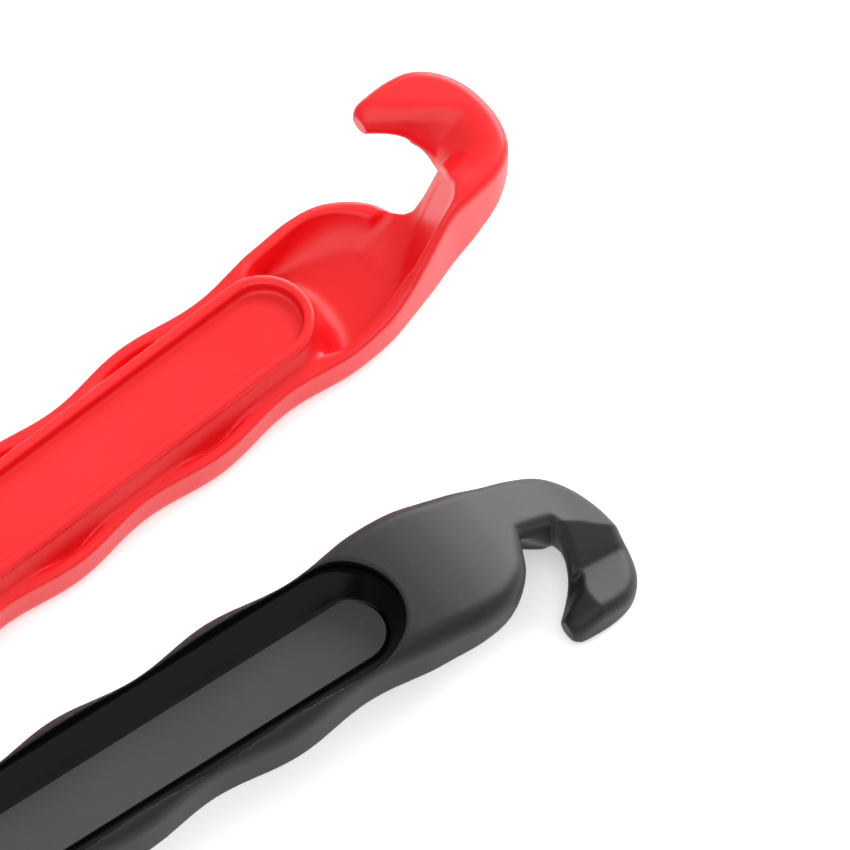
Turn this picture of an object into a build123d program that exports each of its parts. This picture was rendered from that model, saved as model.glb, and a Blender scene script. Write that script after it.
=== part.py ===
from build123d import *
import os
from math import cos, radians, sin

os.makedirs("parts", exist_ok=True)

# A pair of one-piece moulded plastic bicycle tyre levers with spoke hooks, lying side by side:
# the black one right way up, the red one turned over. Millimetres, +Z up, table at Z = 0.
# Each lever is drawn in its own frame first: +X towards the hook, +Y towards the neck side,
# Z = 0 on the face of the stadium-shaped foot ring under the handle.

# ---- driving dimensions of one lever
HOOK_END_X = 35.0          # furthest point of the hook
TIP_X = -91.0              # working tip of the blade
LAND_Z = 9.2               # flat top of the handle above the foot ring
RIM_Z = 2.9                # lower rim of the handle's shell
HOOK_BOTTOM_Z = -7.2       # underside of the hook, which the right-way-up lever stands on
FINGER_TOP_Z = -2.4        # lowered top of the hook's finger
WALL = 1.5                 # shell wall
SKIN = 1.6                 # top skin of the handle and head

WAVE_PITCH = 21.6          # finger-grip scallops along both edges
CREST_HALF_WIDTH = 9.35
VALLEY_HALF_WIDTH = 8.15
CREST_X = 6.8              # first crest, at the head
HANDLE_END_X = CREST_X - 3 * WAVE_PITCH - WAVE_PITCH / 2
BLADE_HALF_WIDTH = 7.0
TIP_HALF_WIDTH = 5.2

POCKET_FLOOR_Z = 3.9       # pocket in the top of the handle
POCKET_FLOOR_HALF = 4.15
POCKET_TOP_HALF = 7.35
POCKET_LIP_DEPTH = 2.0     # upright lip round the pocket's mouth
FLOOR_HEAD_X = -0.8        # centre of the round end at the head, at the pocket's floor
MOUTH_HEAD_X = -2.2        # and at its mouth, where the slope to the head is gentler
POCKET_TAIL_X = -59.0
RING_HALF = 5.95           # foot ring, the underside of the pocket's tub
RING_WIDTH = 1.35
RING_RECESS = 1.4
TUB_WALL = 1.4             # wall between the pocket and the hollow, at the lip
PANEL_THICKNESS = 0.4      # plain inlay on the pocket's floor
PANEL_MARGIN = 0.15

Z_LOW = -12.0              # working heights below and above every lever
Z_HIGH = 12.0
HALF_SPAN = 20.0           # wider than half the lever
SCOOP_END_X = 23.4         # the hollow under the neck ends here, at the solid hook
STEP_FROM_X = 22.4         # the finger's lowered top starts here

# ---- how the pair lies on the table
RED_TURN = 5.3             # degrees between the two levers
RED_PLACE = (17.46, 40.96) # red lever's frame from the black lever's frame


def side_profile():
    """Outline of the lever seen from the side, from blade tip to hook."""
    top = [(TIP_X, -5.4), (-88.0, -4.6), (-82.0, -1.6), (-76.0, 2.4), (-70.0, 6.2), (-64.0, 8.8),
           (-60.0, LAND_Z)]
    nose = [(2.0, LAND_Z), (12.0, 8.4), (18.0, 6.8), (22.0, 5.2), (26.0, 3.2), (30.0, 0.6), (33.0, -1.8),
            (HOOK_END_X + 1, -4.0)]
    belly = [(25.0, HOOK_BOTTOM_Z), (20.8, -6.0), (18.8, -4.2), (13.8, 0.0), (9.0, 1.9), (3.0, RIM_Z)]
    heel = [(-66.0, RIM_Z), (-72.0, -0.4), (-80.0, -4.8), (-87.0, HOOK_BOTTOM_Z)]
    with BuildSketch(Plane.XZ) as profile:
        with BuildLine():
            Spline(top, tangents=[(1, 0.2), (1, 0)])
            Line(top[-1], nose[0])
            Spline(nose, tangents=[(1, 0), (1, -0.8)])
            Line(nose[-1], (HOOK_END_X + 1, HOOK_BOTTOM_Z))
            Line((HOOK_END_X + 1, HOOK_BOTTOM_Z), belly[0])
            Spline(belly, tangents=[(-1, 0), (-1, 0)])
            Line(belly[-1], heel[0])
            Spline(heel, tangents=[(-1, 0), (-1, 0)])
            Line(heel[-1], (TIP_X, HOOK_BOTTOM_Z))
            Line((TIP_X, HOOK_BOTTOM_Z), top[0])
        make_face()
    return profile.sketch


def grip_edge(side, inset=0.0):
    """Scalloped edge from the head's crest back to the blade; side is +1 or -1 in Y."""
    points = []
    for half_wave in range(8):
        half = CREST_HALF_WIDTH if half_wave % 2 == 0 else VALLEY_HALF_WIDTH
        points.append((CREST_X - half_wave * WAVE_PITCH / 2, side * (half - inset)))
    return points


def lever_outline():
    """Plan of the whole lever: handle, blade, head, neck and hook."""
    neck_side = grip_edge(1)
    palm_side = grip_edge(-1)
    blade = [(HANDLE_END_X, VALLEY_HALF_WIDTH), (-78.0, BLADE_HALF_WIDTH), (-87.0, TIP_HALF_WIDTH),
             (TIP_X, 2.6)]
    neck = [(CREST_X, CREST_HALF_WIDTH), (14.5, 8.6), (22.0, 7.1), (30.0, 6.1), (34.0, 2.0),
            (HOOK_END_X, -2.6), (33.3, -8.7), (28.4, -11.6), (23.6, -11.5)]
    throat = [(22.6, -8.6), (26.1, -5.2), (27.1, -1.9), (26.0, -0.5), (22.7, -0.8)]
    head = [(22.7, -0.8), (20.0, -5.3), (15.0, -8.9), (CREST_X, -CREST_HALF_WIDTH)]
    with BuildSketch() as plan:
        with BuildLine():
            Spline(neck_side, tangents=[(-1, 0), (-1, 0)])
            Spline(blade, tangents=[(-1, 0), (-0.15, -1)])
            Line(blade[-1], (TIP_X, -2.6))
            Spline([(x, -y) for x, y in reversed(blade)], tangents=[(-0.15, -1), (1, 0)])
            Spline(list(reversed(palm_side)), tangents=[(1, 0), (1, 0)])
            Spline(list(reversed(head)), tangents=[(1, 0), (0.2, 1)])
            Spline(list(reversed(throat))[0:3], tangents=[(1, 0.1), (-0.1, -1)])
            Spline(throat[0:3][::-1], tangents=[(-0.1, -1), (-1, -0.7)])
            Spline([throat[0], (21.9, -10.2), neck[-1]], tangents=[(-1, -0.7), (1, -0.3)])
            Spline(list(reversed(neck)), tangents=[(1, -0.1), (-1, 0)])
        make_face()
    return plan.sketch


def hollow_outline():
    """Plan of the shell's hollow: the handle less its wall, ending in the round head."""
    neck_side = grip_edge(1, WALL)
    palm_side = grip_edge(-1, WALL)
    head = [palm_side[0], (13.0, -7.6), (18.6, -3.6), (19.8, 1.4), (14.0, 6.9), neck_side[0]]
    with BuildSketch() as plan:
        with BuildLine():
            Spline(neck_side, tangents=[(-1, 0), (-1, 0)])
            Line(neck_side[-1], palm_side[-1])
            Spline(list(reversed(palm_side)), tangents=[(1, 0), (1, 0)])
            Spline(head, tangents=[(1, 0), (-1, 0)])
        make_face()
    return plan.sketch


def scoop_outline():
    """Plan of the open scoop under the head and neck, bounded by the ridge on the neck side."""
    ridge = [(8.0, 7.9), (13.8, 7.1), (18.8, 6.0), (SCOOP_END_X, 4.4)]
    throat_side = [(SCOOP_END_X, -0.6), (22.0, -2.0), (22.0, -HALF_SPAN), (13.0, -HALF_SPAN),
                   (13.0, -7.4), (9.0, 0.0)]
    with BuildSketch() as plan:
        with BuildLine():
            Spline(ridge)
            Polyline([ridge[-1]] + throat_side + [ridge[0]])
        make_face()
    return plan.sketch


def under_skin_profile():
    """Side view of everything below the top skin of the handle, head and neck."""
    ceiling = [(HANDLE_END_X - 4, LAND_Z - SKIN), (3.0, LAND_Z - SKIN), (12.0, 6.7), (18.0, 5.1),
               (SCOOP_END_X, 1.8)]
    with BuildSketch(Plane.XZ) as profile:
        with BuildLine():
            Polyline([(ceiling[0][0], Z_LOW)] + ceiling + [(SCOOP_END_X, Z_LOW)], close=True)
        make_face()
    return profile.sketch


def stadium(half, z, head_x=FLOOR_HEAD_X, tail_x=POCKET_TAIL_X):
    """Long round-ended plan shape at a height."""
    with BuildSketch(Plane.XY.offset(z)) as shape:
        with Locations(((head_x + tail_x) / 2, 0)):
            SlotCenterToCenter(head_x - tail_x, 2 * half)
    return shape.sketch


def prism(sketch, z_low, z_high, taper=0.0):
    """Straight or tapered solid on a plan sketch, from one height to another."""
    return extrude(Plane.XY.offset(z_low) * sketch, amount=z_high - z_low, taper=taper)


def tapered_slot(half_low, half_high, z_low, z_high):
    """Stadium-shaped solid whose walls lean outwards as they rise, most of all at the head."""
    return loft([stadium(half_low, z_low), stadium(half_high, z_high, MOUTH_HEAD_X)])


def side_slab(section):
    """Side-view sketch pushed through the full width of the lever."""
    return extrude(section, amount=2 * HALF_SPAN, both=True)


def make_lever():
    """One lever: a single hollow moulding."""
    hull = prism(lever_outline(), Z_LOW, Z_HIGH) & side_slab(side_profile())

    # hollow underside, open downwards, with the pocket's tub left standing in it; under the neck
    # only the outer ridge is left, running down to the hook
    hollow = prism(hollow_outline(), Z_LOW, Z_HIGH) + prism(scoop_outline(), Z_LOW, Z_HIGH)
    hollow = hollow & side_slab(under_skin_profile())
    lip_z = LAND_Z - POCKET_LIP_DEPTH
    tub_top = POCKET_TOP_HALF + TUB_WALL
    tub = tapered_slot(RING_HALF, tub_top, 0, lip_z) + prism(stadium(tub_top, 0, MOUTH_HEAD_X), lip_z, LAND_Z)
    body = hull - hollow + (tub & prism(lever_outline(), Z_LOW, Z_HIGH))

    # pocket in the top with an upright lip, and shallow recess inside the foot ring
    slope = tapered_slot(POCKET_FLOOR_HALF, POCKET_TOP_HALF, POCKET_FLOOR_Z, lip_z)
    mouth = prism(stadium(POCKET_TOP_HALF, 0, MOUTH_HEAD_X), lip_z, Z_HIGH)
    recess = prism(stadium(RING_HALF - RING_WIDTH, 0), Z_LOW, RING_RECESS)
    body = body - slope - mouth - recess

    # the finger of the hook is stepped down below the neck's top skin by a steep ramp
    with BuildSketch(Plane.YZ.offset(STEP_FROM_X)) as step:
        with BuildLine():
            Polyline([(-1.2, Z_HIGH), (-1.2, 2.2), (-5.1, FINGER_TOP_Z), (-HALF_SPAN, FINGER_TOP_Z),
                      (-HALF_SPAN, Z_HIGH)], close=True)
        make_face()
    return body - extrude(step.sketch, amount=HOOK_END_X)


def make_panel():
    """Plain inlay that lies on the pocket's floor."""
    return prism(stadium(POCKET_FLOOR_HALF - PANEL_MARGIN, 0), POCKET_FLOOR_Z,
                 POCKET_FLOOR_Z + PANEL_THICKNESS)


def place_pair(lever, panel):
    """Both levers where they lie, with the origin under the middle of the pair."""
    stand_up = Pos(0, 0, -HOOK_BOTTOM_Z)
    turn_over = Pos(RED_PLACE[0], RED_PLACE[1], LAND_Z) * Rot(0, 0, RED_TURN) * Rot(180, 0, 0)
    middle = Compound([stand_up * lever, turn_over * lever]).bounding_box().center()
    centre = Pos(-middle.X, -middle.Y, 0)
    print("origin moved by", -middle.X, -middle.Y)
    return {
        "black_lever": centre * stand_up * lever,
        "black_panel": centre * stand_up * panel,
        "red_lever": centre * turn_over * lever,
        "red_panel": centre * turn_over * panel,
    }


for name, piece in place_pair(make_lever(), make_panel()).items():
    export_step(piece, f"parts/{name}.step")
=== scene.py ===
import math
import bpy
import numpy as np
from mathutils import Matrix, Vector


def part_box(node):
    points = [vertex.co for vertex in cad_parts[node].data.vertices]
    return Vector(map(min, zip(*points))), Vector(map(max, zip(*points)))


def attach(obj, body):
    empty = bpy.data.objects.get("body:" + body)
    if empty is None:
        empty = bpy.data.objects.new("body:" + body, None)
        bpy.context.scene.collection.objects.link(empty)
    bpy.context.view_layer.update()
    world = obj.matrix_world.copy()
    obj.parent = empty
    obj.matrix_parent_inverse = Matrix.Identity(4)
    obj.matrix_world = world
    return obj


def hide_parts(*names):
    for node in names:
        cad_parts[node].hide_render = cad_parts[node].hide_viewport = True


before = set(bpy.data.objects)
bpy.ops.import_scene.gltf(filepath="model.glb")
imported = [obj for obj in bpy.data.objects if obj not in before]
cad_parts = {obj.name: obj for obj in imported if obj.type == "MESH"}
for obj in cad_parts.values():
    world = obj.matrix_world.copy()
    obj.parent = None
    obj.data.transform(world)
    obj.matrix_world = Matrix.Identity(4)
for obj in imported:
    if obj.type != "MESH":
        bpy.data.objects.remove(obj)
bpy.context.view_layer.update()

# The black lever. One piece of black glass-filled nylon out of an injection mould: a scalloped hollow
# handle with a long pocket, a head that thins into a curved spoke hook, and a flat blade at the tail.
# Outside it has the mould's fine matte texture; the pocket's walls are polished, and their darker colour is
# painted shade.
LAND_Z = 9.2
LAND_EDGE = 2.2
RIM_Z = 2.9
HOOK_BOTTOM_Z = -7.2
FINGER_TOP_Z = -2.8
WALL = 1.5
SKIN = 1.6
WAVE_PITCH = 21.6
CREST_X = 6.8
CREST_HALF_WIDTH = 9.3
VALLEY_HALF_WIDTH = 8.15
WAVES = 3.5
FLOOR_Z = 3.9
FLOOR_HALF = 4.15
POCKET_HALF = 7.35
LIP_DEPTH = 2.0
RING_HALF = 5.95
RING_WIDTH = 1.35
RING_RECESS = 1.4
POCKET_HEAD_X = -2.2
FLOOR_HEAD_X = -0.8
WALL_LEAN = 0.045
POCKET_TAIL_X = -59.0
MM = 0.001

# The plan outline, in five runs, and the heights of the top and the two sides of the underside.
TAIL = [(-76, 7.3), (-83, 6.4), (-88, 5.0), (-90.4, 3.0), (-91, 0)]
HOOK = [(11, 9.2), (14.5, 8.6), (18, 7.9), (22, 7.1), (26, 6.8), (30, 6.1), (32.8, 4.3), (34.4, 1.3),
        (34.95, -2.3), (34.65, -5.6), (33.3, -8.7), (31.1, -10.8), (28.4, -11.6), (25.2, -11.7),
        (23.0, -11.4)]
THROAT = [(21.8, -10.0), (22.1, -8.8), (23.5, -7.6), (25.0, -6.3), (26.2, -4.9), (26.9, -3.4), (27.2, -1.9)]
THROAT_CORNER = [(27.0, -0.7), (22.7, -0.8)]
BOWL_RIM = [(21.3, -3.1), (20.0, -5.3), (17.8, -7.4), (15.0, -8.9), (11.3, -9.5)]
OUTLINE_STEP = 0.25

LOWEST_Z = HOOK_BOTTOM_Z + 0.05
TOP_HEIGHTS = [(-91, -5.4), (-88, -4.6), (-82, -1.6), (-76, 2.4), (-70, 6.2), (-64, 8.8), (-60, LAND_Z),
               (2, LAND_Z), (7, 8.95), (12, 8.3), (18, 6.8), (22, 5.2), (26, 3.3), (30, 0.9), (33, -1.5),
               (36, -3.6)]
BLADE_HEIGHTS = [(-91, LOWEST_Z), (-86, LOWEST_Z), (-80, -4.8), (-72, -0.4), (-66, RIM_Z)]
PALM_HEIGHTS = BLADE_HEIGHTS + [(7, RIM_Z), (13, 3.0), (17, 3.2), (20, 3.5), (22, 4.3), (24, 4.5)]
NECK_HEIGHTS = BLADE_HEIGHTS + [(3, RIM_Z), (9, 1.9), (13.8, 0), (16.1, -1.8), (18.8, -4.2), (20.8, -6.0),
                                (23.6, LOWEST_Z + 0.1), (26, LOWEST_Z), (36, LOWEST_Z)]

# The finger's stepped top: a steep facet, a flat that dips to the hook's outside, a bevel along the throat
# and a nose. HEAD_SIDE_X is where the head's full height ends, and the chamfer runs under the throat.
FACET_FOOT = (28.4, -5.1, FINGER_TOP_Z)
FACET_LEAN = (0.238, -0.763, 0.602)
FINGER_DIP = 0.3
FINGER_DIP_X = 28.2
BEVEL_DIP = 0.75
BEVEL_WIDTH = 1.5
BEVEL_END_Y = -5.6
NOSE_DIP = 0.35
NOSE_X = 26.4
NOSE_RISE = 0.54
HEAD_SIDE_X = 21.2
HEAD_SIDE_FLARE = 1.3
CHAMFER_DIP = 0.87

# The hollow: how far it reaches, the ridge that stays along the neck, and the slope under the neck.
HOLLOW_TAIL_X = -66
HOLLOW_HEAD_X = 25
RIDGE_LINE = [(-70, 12), (4, 12), (7, 8.6), (10.2, 7.9), (13.8, 7.2), (16.1, 6.9), (18.8, 6.5), (20.6, 6.2),
              (23.6, 5.5), (25, 4.8), (30, 2), (30, -3), (22.3, -3), (22.3, -20), (-70, -20)]
THROAT_EDGE = (22.7, -0.8, 3.3)
FINGER_FOOT = (27.2, -0.7, -3.7)
RIDGE_FOOT = (23.6, 5.6, -7.2)
SCOOP_START_X = 14
SCOOP_PALM_Y = -3.5
SCOOP_PALM_RISE = 1.6
HOOK_SIDE_FOOT = (27.15, -1.9)
HOOK_SIDE_LEAN = (0.904, 0.428)

# The pocket's tub, which hangs in the hollow and ends in the foot ring.
TUB_SWELL_Z = 0.9
TUB_SKIN = 1.4
TUB_TOP_GAP = 0.5
TUB_SIDE_GAP = 0.3


def smooth_line(points, step=0.6):
    """A smooth line through a few marked points, as a dense list of points."""
    marks = np.array(points, float)
    ends = np.vstack([2 * marks[0] - marks[1], marks, 2 * marks[-1] - marks[-2]])
    run = []
    for a, b, c, d in zip(ends, ends[1:], ends[2:], ends[3:]):
        ta = np.linalg.norm(b - a) ** 0.5
        tb = ta + np.linalg.norm(c - b) ** 0.5
        tc = tb + np.linalg.norm(d - c) ** 0.5
        count = max(2, int(np.linalg.norm(c - b) / step) + 1)
        t = np.linspace(ta, tb, count, endpoint=False)[:, None]
        ab = (ta - t) / ta * a + t / ta * b
        bc = (tb - t) / (tb - ta) * b + (t - ta) / (tb - ta) * c
        cd = (tc - t) / (tc - tb) * c + (t - tb) / (tc - tb) * d
        abc = (tb - t) / tb * ab + t / tb * bc
        bcd = (tc - t) / (tc - ta) * bc + (t - ta) / (tc - ta) * cd
        run.append((tb - t) / (tb - ta) * abc + (t - ta) / (tb - ta) * bcd)
    return np.vstack(run + [marks[-1:]])


def from_outline(outline, x, y):
    """Distance of every plan point from a closed outline, below zero inside it."""
    best = np.full(x.shape, 1e9)
    inside = np.zeros(x.shape, bool)
    for (ax, ay), (bx, by) in zip(outline, np.roll(outline, -1, axis=0)):
        ex, ey = bx - ax, by - ay
        span = ex * ex + ey * ey
        if span == 0:
            continue
        t = np.clip(((x - ax) * ex + (y - ay) * ey) / span, 0, 1)
        best = np.minimum(best, (x - ax - t * ex) ** 2 + (y - ay - t * ey) ** 2)
        if ey != 0:
            inside ^= ((y >= ay) != (y >= by)) & (x < ax + (y - ay) * ex / ey)
    return np.where(inside, -1, 1) * np.sqrt(best)


def trim(a, b, radius=0.0):
    """What two shapes share, with a rounded edge of that radius between them."""
    rounded = np.hypot(np.maximum(radius + a, 0), np.maximum(radius + b, 0))
    return np.minimum(-radius, np.maximum(a, b)) + rounded


def join(a, b, radius=0.0):
    return -trim(-a, -b, radius)


def cut(a, b, radius=0.0):
    return trim(a, -b, radius)


def ease(x, start, end):
    t = np.clip((x - start) / (end - start), 0, 1)
    return t * t * (3 - 2 * t)


def heights(x, stations):
    """Height along the lever from a few stations, with no overshoot between them."""
    sx, sz = np.array(stations, float).T
    width, slope = np.diff(sx), np.diff(sz) / np.diff(sx)
    tangent = np.zeros(len(sx))
    same = slope[:-1] * slope[1:] > 0
    wa, wb = 2 * width[1:] + width[:-1], width[1:] + 2 * width[:-1]
    with np.errstate(divide="ignore", invalid="ignore"):
        mean = (wa + wb) / (wa / slope[:-1] + wb / slope[1:])
    tangent[1:-1] = np.where(same, mean, 0)
    tangent[0], tangent[-1] = slope[0], slope[-1]
    x = np.clip(x, sx[0], sx[-1])
    k = np.clip(np.searchsorted(sx, x) - 1, 0, len(width) - 1)
    w, t = width[k], (x - sx[k]) / width[k]
    return ((1 + 2 * t) * (1 - t) ** 2 * sz[k] + t * (1 - t) ** 2 * w * tangent[k]
            + t * t * (3 - 2 * t) * sz[k + 1] + t * t * (t - 1) * w * tangent[k + 1])


def lever_outline():
    mid = (CREST_HALF_WIDTH + VALLEY_HALF_WIDTH) / 2
    swing = (CREST_HALF_WIDTH - VALLEY_HALF_WIDTH) / 2
    neck_side = [(x, mid + swing * math.cos((x - CREST_X) / WAVE_PITCH * 2 * math.pi))
                 for x in np.arange(CREST_X, CREST_X - WAVES * WAVE_PITCH - 0.01, -WAVE_PITCH / 8)]
    palm_side = [(x, -y) for x, y in neck_side]
    palm_tail = [(x, -y) for x, y in TAIL[:-1]]
    return np.concatenate([
        smooth_line(neck_side[::-1] + HOOK + THROAT)[:-1],
        smooth_line([THROAT[-1], THROAT_CORNER[0]], OUTLINE_STEP)[:-1],
        np.array(THROAT_CORNER[:1]),
        smooth_line([THROAT_CORNER[1]] + BOWL_RIM + palm_side, OUTLINE_STEP)[:-1],
        smooth_line([palm_side[-1]] + palm_tail + TAIL[::-1] + [neck_side[-1]], OUTLINE_STEP)[:-1],
    ])


def from_plane(x, y, z, foot, lean):
    return (x - foot[0]) * lean[0] + (y - foot[1]) * lean[1] + (z - foot[2]) * lean[2]


def round_ended(x, y, half, x0, x1):
    return np.hypot(np.maximum(np.maximum(x0 - x, x - x1), 0), y) - half


def finger_top(x, y, z, gap):
    """The dropped top of the finger. The factors even its slopes out, so rounded edges keep their size."""
    facet = from_plane(x, y, z, FACET_FOOT, FACET_LEAN)
    finger = (z - FINGER_TOP_Z + FINGER_DIP * (x - FINGER_DIP_X)) * 0.95
    bevel = join((z - FINGER_TOP_Z + BEVEL_DIP * (BEVEL_WIDTH - gap)) * 0.8, BEVEL_END_Y - y, 0.3)
    nose = (z - FINGER_TOP_Z - NOSE_RISE + NOSE_DIP * (NOSE_X - x)) * 0.94
    finger = trim(trim(finger, bevel, 0.15), nose, 0.15)
    head_side = x - (HEAD_SIDE_X + HEAD_SIDE_FLARE * ease(y, -6, -4))
    return join(join(facet, finger, 0.4), head_side)


def without_hollow(body, x, y, z, drafted, top):
    """The body with the hollow cut up into it from below, and the scoop under the neck."""
    ceiling = z - (top - SKIN)
    fillet = 0.9 + 3.1 * ease(x, 5, 15)
    wall = WALL - 0.3 * ease(x, 8, 18)
    hollow = trim(trim(drafted + wall, ceiling, fillet), HOLLOW_TAIL_X - x, 1.0)
    ridge = from_outline(np.array(RIDGE_LINE), x[:, :, 0], y[:, :, 0])[:, :, None]
    across = np.cross(np.subtract(FINGER_FOOT, THROAT_EDGE), np.subtract(RIDGE_FOOT, THROAT_EDGE))
    across = across / np.linalg.norm(across) * (1 if across[2] > 0 else -1)
    under = from_plane(x, y, z, THROAT_EDGE, across)
    hollow = trim(trim(trim(hollow, ridge, 1.2), under, 1.0), x - HOLLOW_HEAD_X, 0.0)
    scoop = trim(trim(trim(under, ceiling, 2.0), ridge, 0.5), SCOOP_START_X - x, 2.0)
    hook_side = HOOK_SIDE_LEAN[0] * (x - HOOK_SIDE_FOOT[0]) + HOOK_SIDE_LEAN[1] * (y - HOOK_SIDE_FOOT[1])
    palm_limit = SCOOP_PALM_Y + SCOOP_PALM_RISE * ease(x, 23, 25)
    scoop = trim(trim(scoop, hook_side, 0.0), palm_limit - y, 1.6)
    return cut(cut(body, hollow, 0.3), scoop, 0.4)


def pocket_space(x, y, z):
    """The room in the pocket: a steep lip, then a slope that narrows to the floor."""
    lip_foot_z = LAND_Z - LIP_DEPTH
    climb = np.clip((z - FLOOR_Z) / (lip_foot_z - FLOOR_Z), -1.5, 1)
    head_end = FLOOR_HEAD_X + (POCKET_HEAD_X - FLOOR_HEAD_X) * np.clip(climb, 0, 1)
    half = FLOOR_HALF + (POCKET_HALF - 0.1 - FLOOR_HALF) * climb
    slope = trim(round_ended(x, y, half, POCKET_TAIL_X, head_end) * 0.78, FLOOR_Z - z, 0.4)
    slope = trim(slope, z - (lip_foot_z + 0.3), 0)
    lip = trim(round_ended(x, y, POCKET_HALF, POCKET_TAIL_X, POCKET_HEAD_X), lip_foot_z - z, 0.3)
    return join(slope, lip, 0.05)


def pocket_tub(x, y, z, drafted):
    """The tub round the pocket, from just under the top down to the foot ring."""
    climb = np.clip((z - TUB_SWELL_Z) / (LAND_Z - LIP_DEPTH - TUB_SWELL_Z), 0, 1)
    head_end = FLOOR_HEAD_X + (POCKET_HEAD_X - FLOOR_HEAD_X) * climb
    half = RING_HALF + (POCKET_HALF + TUB_SKIN - RING_HALF) * climb
    tub = trim(round_ended(x, y, half, POCKET_TAIL_X, head_end) * 0.85, -z, 0.3)
    return trim(trim(tub, z - LAND_Z + TUB_TOP_GAP, 0.2), drafted + TUB_SIDE_GAP, 0.2)


def lever_shape(step):
    """How far every point of a fine grid lies outside the moulding, in millimetres."""
    xs = np.arange(-92.5, 36.6, step)
    ys = np.arange(-14.5, 12.0, step)
    zs = np.arange(-9.0, 10.4, step)
    plan_x, plan_y = np.meshgrid(xs, ys, indexing="ij")
    x, y, z = plan_x[:, :, None], plan_y[:, :, None], zs[None, None, :]
    edge = from_outline(lever_outline(), plan_x, plan_y)[:, :, None]
    gap = from_outline(np.array(THROAT + THROAT_CORNER + BOWL_RIM[:3]), plan_x, plan_y)[:, :, None]
    top = heights(x, TOP_HEIGHTS)
    neckward = np.where(x < 22.3, ease(y, -3, 3), 1.0)
    bottom = heights(x, PALM_HEIGHTS) * (1 - neckward) + heights(x, NECK_HEIGHTS) * neckward
    slender = ease(x, 8, 24)
    upper = trim((z - top) * 0.95, finger_top(x, y, z, gap), 0.35)
    drafted = edge + WALL_LEAN * np.maximum(z - RIM_Z, 0) * (1 - slender)
    crown = trim(drafted, upper, LAND_EDGE - 0.7 * ease(x, 14, 22))
    body = trim(crown, bottom - z, 0.4 + 0.8 * slender * neckward)
    throat_rise = 1.2 + 2.3 * ease(y, -7, -2)
    body = trim(body, (LOWEST_Z + throat_rise - CHAMFER_DIP * gap - z) * 0.75, 1.2)
    body = without_hollow(body, x, y, z, drafted, top)
    body = join(body, pocket_tub(x, y, z, drafted), 0.7 + 2.0 * ease(x, -1, 4))
    body = cut(np.maximum(body, crown), pocket_space(x, y, z), 0.3)
    ring_slot = round_ended(x, y, RING_HALF - RING_WIDTH, POCKET_TAIL_X, FLOOR_HEAD_X)
    body = cut(body, trim(ring_slot, z - RING_RECESS, 0.4), 0.25)
    return body, (xs[0], ys[0], zs[0])


CELL_CORNERS = [(i, j, k) for i in (0, 1) for j in (0, 1) for k in (0, 1)]


def skin_over(field, corner, step):
    """Quads over the surface where the field is zero, one point in each grid cell that it crosses."""
    inside = field < 0
    cells = tuple(n - 1 for n in field.shape)
    total, hits = np.zeros(cells + (3,), np.float32), np.zeros(cells, np.float32)

    def part(values, offset):
        return values[tuple(slice(start, start + count) for start, count in zip(offset, cells))]

    for a in CELL_CORNERS:
        for axis in range(3):
            if a[axis]:
                continue
            b = tuple(v + (n == axis) for n, v in enumerate(a))
            fa, fb = part(field, a), part(field, b)
            crossed = part(inside, a) != part(inside, b)
            share = np.where(crossed, fa / np.where(crossed, fa - fb, 1), 0)
            for n in range(3):
                total[..., n] += np.where(crossed, a[n] + (share if n == axis else 0), 0)
            hits += crossed
    used = hits > 0
    index = np.full(cells, -1, np.int64)
    index[used] = np.arange(used.sum())
    points = np.argwhere(used) + total[used] / hits[used][:, None]
    points = points * step + np.array(corner)
    quads = []
    for axis in range(3):
        u, v = (axis + 1) % 3, (axis + 2) % 3
        lower = [slice(None)] * 3
        upper = [slice(None)] * 3
        lower[axis], upper[axis] = slice(None, -1), slice(1, None)
        change = inside[tuple(lower)].astype(np.int8) - inside[tuple(upper)].astype(np.int8)
        where = np.argwhere(change != 0)
        where = where[(where[:, u] > 0) & (where[:, v] > 0)]
        where = where[(where[:, u] < cells[u]) & (where[:, v] < cells[v])]
        corners = []
        for du, dv in ((1, 1), (0, 1), (0, 0), (1, 0)):
            at = where.copy()
            at[:, u] -= du
            at[:, v] -= dv
            corners.append(index[at[:, 0], at[:, 1], at[:, 2]])
        face = np.stack(corners, 1)
        back = change[where[:, 0], where[:, 1], where[:, 2]] < 0
        face[back] = face[back][:, ::-1]
        quads.append(face)
    return points, np.vstack(quads)


def settle(points, field, corner, step):
    """Moves every point straight onto the surface, by the field's own slope."""
    start = points
    for _ in range(3):
        spot = (points - np.array(corner)) / step
        cell = np.clip(spot.astype(int), 0, np.array(field.shape) - 2)
        share = spot - cell
        value, slope = np.zeros(len(points)), np.zeros((len(points), 3))
        for i, j, k in CELL_CORNERS:
            known = field[cell[:, 0] + i, cell[:, 1] + j, cell[:, 2] + k]
            weight = [share[:, n] if on else 1 - share[:, n] for n, on in enumerate((i, j, k))]
            value += known * weight[0] * weight[1] * weight[2]
            for n, on in enumerate((i, j, k)):
                others = [weight[m] for m in range(3) if m != n]
                slope[:, n] += known * (1 if on else -1) * others[0] * others[1] / step
        steepness = np.maximum((slope ** 2).sum(1), 0.3)
        shift = points - 0.7 * slope * (value / steepness)[:, None] - start
        length = np.linalg.norm(shift, axis=1)[:, None]
        points = start + shift * np.minimum(1, 0.3 * step / np.maximum(length, 1e-9))
    return points


GRID_STEP = 0.25
field, corner = lever_shape(GRID_STEP)
lever_points, lever_quads = skin_over(field.astype(np.float32), corner, GRID_STEP)
lever_points = settle(lever_points, field, corner, GRID_STEP)
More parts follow.
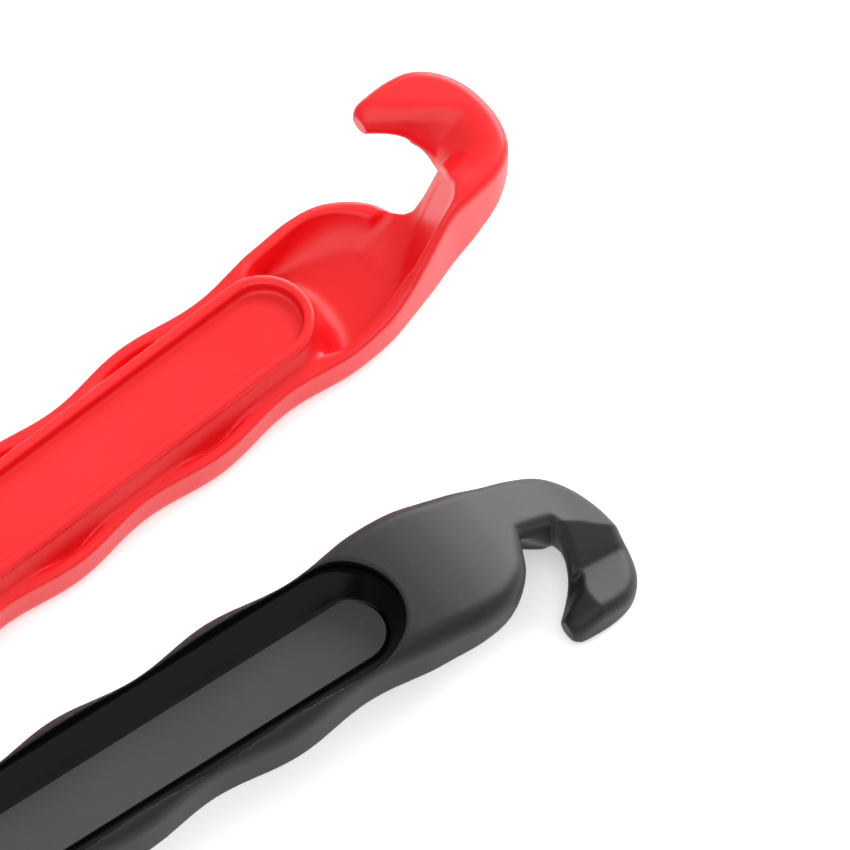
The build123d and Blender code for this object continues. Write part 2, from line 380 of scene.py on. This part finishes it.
# The pocket's walls and floor get the polished roughness and a darker colour that is painted shade in the
# pocket.
POLISH_AND_SHADE_REACH = 0.1
POLISH_AND_SHADE_BOTTOM_Z = FLOOR_Z - 0.2
from_pocket = round_ended(lever_points[:, 0], lever_points[:, 1], POCKET_HALF, POCKET_TAIL_X, POCKET_HEAD_X)
in_pocket = (from_pocket < POLISH_AND_SHADE_REACH) & (lever_points[:, 2] > POLISH_AND_SHADE_BOTTOM_Z)
PANEL_MIDDLE_X = (POCKET_TAIL_X + FLOOR_HEAD_X) / 2


def panel_middle(node):
    low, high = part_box(node)
    return (Vector(low) + Vector(high)) / 2


def lay_down(name, place):
    mesh = bpy.data.meshes.new(name)
    mesh.from_pydata((lever_points * MM).tolist(), [], lever_quads.tolist())
    mesh.attributes.new("polish_and_shade", "FLOAT", "POINT").data.foreach_set("value", in_pocket.astype(np.float32))
    mesh.transform(place)
    mesh.shade_smooth()
    lever = bpy.data.objects.new(name, mesh)
    bpy.context.collection.objects.link(lever)
    return lever


class Maths:
    """A shader value; sums and products on it add Math nodes."""
    def __init__(self, finish, socket):
        self.finish, self.socket = finish, socket

    def step(self, operation, *values):
        return self.finish.node("ShaderNodeMath", {"operation": operation}, dict(enumerate(values)))

    def __add__(self, other):
        return self.step("ADD", self, other)
    __radd__ = __add__

    def __mul__(self, other):
        return self.step("MULTIPLY", self, other)
    __rmul__ = __mul__

    def __sub__(self, other):
        return self.step("SUBTRACT", self, other)

    def __rsub__(self, other):
        return self.step("SUBTRACT", other, self)


class Finish:
    """A material under construction."""
    def __init__(self, name):
        self.material = bpy.data.materials.new(name)
        self.material.use_nodes = True
        self.tree = self.material.node_tree
        self.tree.nodes.clear()

    def node(self, kind, settings=None, sockets=None, out=0):
        made = self.tree.nodes.new(kind)
        for key, value in (settings or {}).items():
            setattr(made, key, value)
        for key, value in (sockets or {}).items():
            if isinstance(value, Maths):
                self.tree.links.new(value.socket, made.inputs[key])
            else:
                made.inputs[key].default_value = value
        return Maths(self, made.outputs[out]) if len(made.outputs) else None

    def mix(self, share, first, second):
        ends = [v if isinstance(v, Maths) else (*v, 1) for v in (first, second)]
        return self.node("ShaderNodeMix", {"data_type": "RGBA"}, {0: share, 6: ends[0], 7: ends[1]}, out=2)


POLISHED_ROUGH = 0.16


def moulded(name, colour, pale, polished_and_shaded, rough, grain_depth, shine, glow=0.0):
    """Moulded plastic: fine spark-eroded grain, faint flow clouds, hair scratches, polished pocket walls
    whose darker colour is painted shade.
    """
    f = Finish(name)
    place = f.node("ShaderNodeTexCoord", out="Object")
    polish_and_shade = f.node("ShaderNodeAttribute", {"attribute_name": "polish_and_shade"}, out="Fac")
    cloud = f.node("ShaderNodeTexNoise", {}, {"Vector": place, "Scale": 45.0, "Detail": 4.0}, out=0)
    grain = f.node("ShaderNodeTexNoise", {}, {"Vector": place, "Scale": 6500.0, "Detail": 2.0}, out=0)
    turned = f.node("ShaderNodeMapping", {}, {"Vector": place, "Rotation": (0.2, 0.3, 0.5),
                                              "Scale": (260.0, 4200.0, 4200.0)})
    hair = f.node("ShaderNodeTexNoise", {}, {"Vector": turned, "Scale": 1.0, "Detail": 1.0}, out=0)
    scratch = f.node("ShaderNodeMapRange", {}, {"Value": hair, "From Min": 0.68, "From Max": 0.76})
    textured = 1.0 - polish_and_shade
    tone = f.mix(cloud * 0.7 + (grain - 0.5) * 0.5 * textured, colour, pale)
    tone = f.mix(scratch * 0.18 * textured, tone, [min(1, v * 1.6 + 0.02) for v in pale])
    # The pocket takes the polished colour; on the black lever it is much darker, painted shade on the pocket
    # walls.
    tone = f.mix(polish_and_shade, tone, polished_and_shaded)
    roughness = rough * textured + POLISHED_ROUGH * polish_and_shade + (cloud - 0.5) * 0.14 + scratch * 0.1
    relief = (grain + scratch * 0.3) * textured + cloud * 0.4
    bump = f.node("ShaderNodeBump", {}, {"Height": relief, "Strength": 0.35, "Distance": grain_depth})
    shader = f.node("ShaderNodeBsdfPrincipled", {}, {
        "Base Color": tone, "Roughness": roughness, "Normal": bump, "IOR": 1.5, "Specular IOR Level": shine,
        "Subsurface Weight": glow, "Subsurface Radius": (1.0, 0.15, 0.1), "Subsurface Scale": 0.0012})
    f.node("ShaderNodeOutputMaterial", {}, {"Surface": shader})
    return f.material


black_middle = panel_middle("black_panel")
black_start = Vector((black_middle.x - PANEL_MIDDLE_X * MM, black_middle.y, -HOOK_BOTTOM_Z * MM))
black_place = Matrix.Translation(black_start)
black_lever = lay_down("black_lever_moulding", black_place)
# The pocket's polished colour is far darker than the body's: painted shade on the pocket walls.
black_lever.data.materials.append(moulded(
    "black nylon", colour=(0.008, 0.008, 0.0082), pale=(0.016, 0.0155, 0.0155),
    polished_and_shaded=(0.0015, 0.0015, 0.0015), rough=0.44, grain_depth=0.00003, shine=0.28))
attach(black_lever, "black_lever_body")
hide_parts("black_lever")

# The red lever. The same moulding out of the same mould in red nylon, lying turned over, so its hollow
# underside with the foot ring faces up. The red is semi-gloss and lets a little light through its edges.
RED_TURN = math.radians(5.3)
red_middle = panel_middle("red_panel")
red_turned = Matrix.Rotation(RED_TURN, 4, "Z") @ Matrix.Rotation(math.pi, 4, "X")
red_start = red_middle - red_turned @ Vector((PANEL_MIDDLE_X * MM, 0, 0))
red_start.z = LAND_Z * MM
red_lever = lay_down("red_lever_moulding", Matrix.Translation(red_start) @ red_turned)
# The pocket's polished colour, a little darker than the body's, is painted shade on the pocket walls.
red_lever.data.materials.append(moulded(
    "red nylon", colour=(0.76, 0.006, 0.010), pale=(0.82, 0.010, 0.015), polished_and_shaded=(0.74, 0.006, 0.010),
    rough=0.36, grain_depth=0.00002, shine=0.4, glow=0.2))
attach(red_lever, "red_lever_body")
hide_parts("red_lever")

# The grey inlay. A thin round-ended strip of matte plastic laid on the floor of the black lever's pocket,
# where a maker would put a mark; it is left plain.
black_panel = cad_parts["black_panel"]
black_panel.data.materials.clear()
black_panel.data.materials.append(moulded(
    "grey inlay", colour=(0.043, 0.043, 0.044), pale=(0.052, 0.052, 0.053), polished_and_shaded=(0.045, 0.045, 0.045),
    rough=0.55, grain_depth=0.00002, shine=0.3))

# The red inlay. The same thin strip of matte plastic, in red, laid on the floor of the red lever's pocket.
# The lever lies turned over, so the strip faces the table.
red_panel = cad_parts["red_panel"]
red_panel.data.materials.clear()
red_panel.data.materials.append(moulded(
    "red inlay", colour=(0.58, 0.007, 0.012), pale=(0.62, 0.012, 0.018), polished_and_shaded=(0.55, 0.007, 0.012),
    rough=0.55, grain_depth=0.00002, shine=0.3))

# The table. A plain white sheet of paper with a faint tooth, lit a little from beneath as on a light table,
# so that shadows on it stay faint.
TABLE_HALF = 3.0
table_mesh = bpy.data.meshes.new("table")
table_corners = [(x * TABLE_HALF, y * TABLE_HALF, 0) for x, y in ((-1, -1), (1, -1), (1, 1), (-1, 1))]
table_mesh.from_pydata(table_corners, [], [(0, 1, 2, 3)])
table = bpy.data.objects.new("table", table_mesh)
bpy.context.collection.objects.link(table)
paper = Finish("white paper")
spot = paper.node("ShaderNodeTexCoord", out="Object")
tooth = paper.node("ShaderNodeTexNoise", {}, {"Vector": spot, "Scale": 900.0}, out=0)
white = paper.mix(tooth, (0.93, 0.93, 0.93), (0.96, 0.96, 0.96))
sheet = paper.node("ShaderNodeBsdfPrincipled", {}, {
    "Base Color": white, "Roughness": 0.9, "Specular IOR Level": 0.1,
    "Emission Color": (1, 1, 1, 1), "Emission Strength": 0.4})
paper.node("ShaderNodeOutputMaterial", {}, {"Surface": sheet})
table_mesh.materials.append(paper.material)

# The camera. A long lens looking steeply down at the two hooks from the blade side, on a stand far enough
# back that the pair shows with almost no perspective.
CAMERA_TURN = math.radians(-36.2)
CAMERA_RISE = math.radians(58.6)
CAMERA_DISTANCE = 4.0
VIEW_WIDTH = 0.0966
SENSOR = 36.0
VIEW_RIGHT = 8.41
VIEW_UP = 23.75


def direction(turn, rise):
    return Vector((math.sin(turn) * math.cos(rise), -math.cos(turn) * math.cos(rise), math.sin(rise)))


back = direction(CAMERA_TURN, CAMERA_RISE)
right = Vector((math.cos(CAMERA_TURN), math.sin(CAMERA_TURN), 0))
up = back.cross(right)
aim = black_place @ (Vector((FLOOR_HEAD_X, 0, FLOOR_Z)) * MM)
view_middle = aim + right * VIEW_RIGHT * MM + up * VIEW_UP * MM
camera_data = bpy.data.cameras.new("camera")
camera_data.sensor_width = SENSOR
camera_data.lens = SENSOR * CAMERA_DISTANCE / VIEW_WIDTH
camera_data.clip_start = 0.01
camera = bpy.data.objects.new("camera", camera_data)
camera.matrix_world = (Matrix.Translation(view_middle + back * CAMERA_DISTANCE)
                       @ Matrix((right, up, back)).transposed().to_4x4())
bpy.context.collection.objects.link(camera)
bpy.context.scene.camera = camera

# The studio light. A wide soft key from behind the camera, a low softbox beyond the hooks that grades the
# tops towards white, and a dim even surround.
def soft_box(name, turn, rise, size, power):
    data = bpy.data.lights.new(name, "AREA")
    data.shape, data.size, data.size_y, data.energy = "RECTANGLE", size[0], size[1], power
    light = bpy.data.objects.new(name, data)
    out = direction(math.radians(turn), math.radians(rise))
    light.matrix_world = Matrix.Translation(aim + out) @ out.to_track_quat("Z", "Y").to_matrix().to_4x4()
    bpy.context.collection.objects.link(light)


soft_box("key softbox", -50, 66, (1.1, 1.1), 5.5)
soft_box("far softbox", 118, 22, (0.9, 0.7), 15.0)
world = bpy.data.worlds.new("studio")
world.use_nodes = True
surround = world.node_tree.nodes["Background"]
surround.inputs["Color"].default_value = (1, 1, 1, 1)
surround.inputs["Strength"].default_value = 0.6
bpy.context.scene.world = world
bpy.context.scene.view_settings.view_transform = "Standard"
